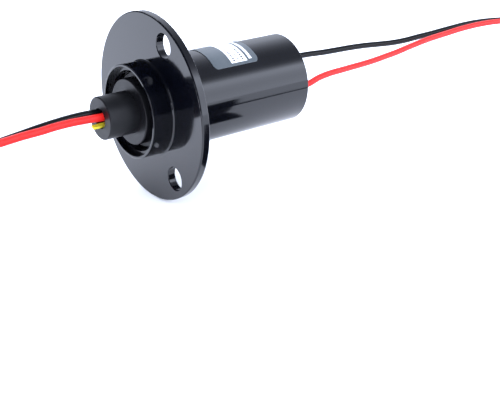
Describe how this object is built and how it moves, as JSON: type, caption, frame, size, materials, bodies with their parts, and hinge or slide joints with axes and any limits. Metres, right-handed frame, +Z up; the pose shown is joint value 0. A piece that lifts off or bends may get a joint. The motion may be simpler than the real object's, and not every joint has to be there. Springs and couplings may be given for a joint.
{
  "type": "slip ring",
  "caption": "Flanged capsule slip ring whose driven hub turns inside a tubular housing, with coloured flying leads at both ends.",
  "frame": {"origin": "centre of the flange's mounting face, the face on the side of the long housing", "axes": "+Y along the axis of rotation towards the rear cover and the stator leads, +Z up, with the coils hanging down, +X to the red lead's side"},
  "size_m": [0.0446, 0.2191, 0.0446],
  "materials": {
    "black_plastic": "polished injection moulding",
    "black_rubber": "semi-gloss",
    "nylon": "matt",
    "label_film": "satin printed film",
    "clear_potting": "clear cured resin",
    "bearing_steel": "ground",
    "inner_plastic": "moulded",
    "ivory_plastic": "moulded",
    "laminate": "machined laminate",
    "circuit_board": "solder resist",
    "gold_alloy": "polished, gold plated",
    "copper": "drawn",
    "tinned_copper": "tinned",
    "yellow_sleeve": "satin film",
    "red_insulation": "satin extruded",
    "black_insulation": "satin extruded"
  },
  "bodies": {
    "stator": {"housing": "black_plastic", "label": "label_film", "rear_cover": "black_plastic", "exit_seal_red": "clear_potting", "exit_seal_black": "clear_potting", "bearing_cap": "black_rubber", "front_outer_ring": "bearing_steel", "front_ball_cage": "bearing_steel", "front_bearing_seal": "black_rubber", "rear_outer_ring": "bearing_steel", "rear_ball_cage": "bearing_steel", "bearing_carrier": "inner_plastic", "brush_board": "circuit_board", "terminal_red": "tinned_copper", "terminal_black": "tinned_copper", "brush_1": "gold_alloy", "brush_2": "gold_alloy", "brush_3": "gold_alloy", "brush_4": "gold_alloy", "stator_tail_red": "red_insulation", "stator_tail_black": "black_insulation", "stator_lead_red": "red_insulation", "stator_lead_black": "black_insulation", "stator_coil_red": "red_insulation", "stator_coil_black": "black_insulation", "stator_tip_red": "tinned_copper", "stator_tip_black": "tinned_copper", "stator_coil_tie": "nylon"},
    "rotor": {"rotor_hub": "black_plastic", "rotor_core": "inner_plastic", "stack_nut": "ivory_plastic", "front_inner_ring": "bearing_steel", "rear_inner_ring": "bearing_steel", "contact_ring_1": "gold_alloy", "contact_ring_2": "gold_alloy", "contact_ring_3": "gold_alloy", "contact_ring_4": "gold_alloy", "barrier_1": "laminate", "barrier_2": "laminate", "barrier_3": "laminate", "barrier_4": "laminate", "barrier_5": "laminate", "bus_rod_red": "copper", "bus_rod_black": "copper", "insulating_sleeve": "yellow_sleeve", "rotor_tail_red": "red_insulation", "rotor_tail_black": "black_insulation", "rotor_lead_red": "red_insulation", "rotor_lead_black": "black_insulation", "rotor_coil_red": "red_insulation", "rotor_coil_black": "black_insulation", "rotor_tip_red": "tinned_copper", "rotor_tip_black": "tinned_copper", "rotor_coil_tie": "nylon"}
  },
  "joints": [
    {"name": "rotor_spin", "type": "hinge", "parent": "stator", "child": "rotor", "pos_m": [0, 0, 0], "axis": [0, -1, 0], "continuous": true}
  ]
}
